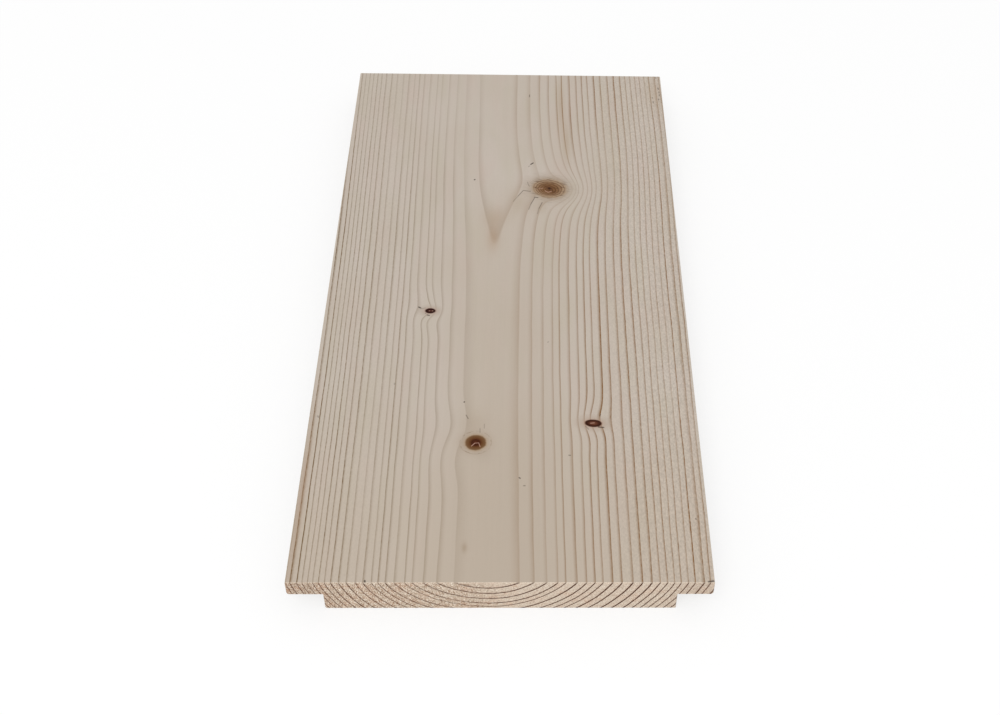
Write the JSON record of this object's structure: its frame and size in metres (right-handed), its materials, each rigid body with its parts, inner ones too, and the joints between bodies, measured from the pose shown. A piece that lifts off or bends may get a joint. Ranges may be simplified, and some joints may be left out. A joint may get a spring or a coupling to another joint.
{
  "type": "shiplap cladding board",
  "caption": "Planed softwood cladding board with a rebate under each long edge, so that its lips lap over the boards beside it.",
  "frame": {"origin": "centre of the flat back, on the surface that the board lies on", "axes": "+Z out of the planed face, +Y along the grain and the length, +X across the board from the left lip to the right lip"},
  "size_m": [0.195, 0.4, 0.02],
  "materials": {
    "spruce": "planed, bare"
  },
  "bodies": {
    "root": {"board": "spruce"}
  },
  "joints": []
}
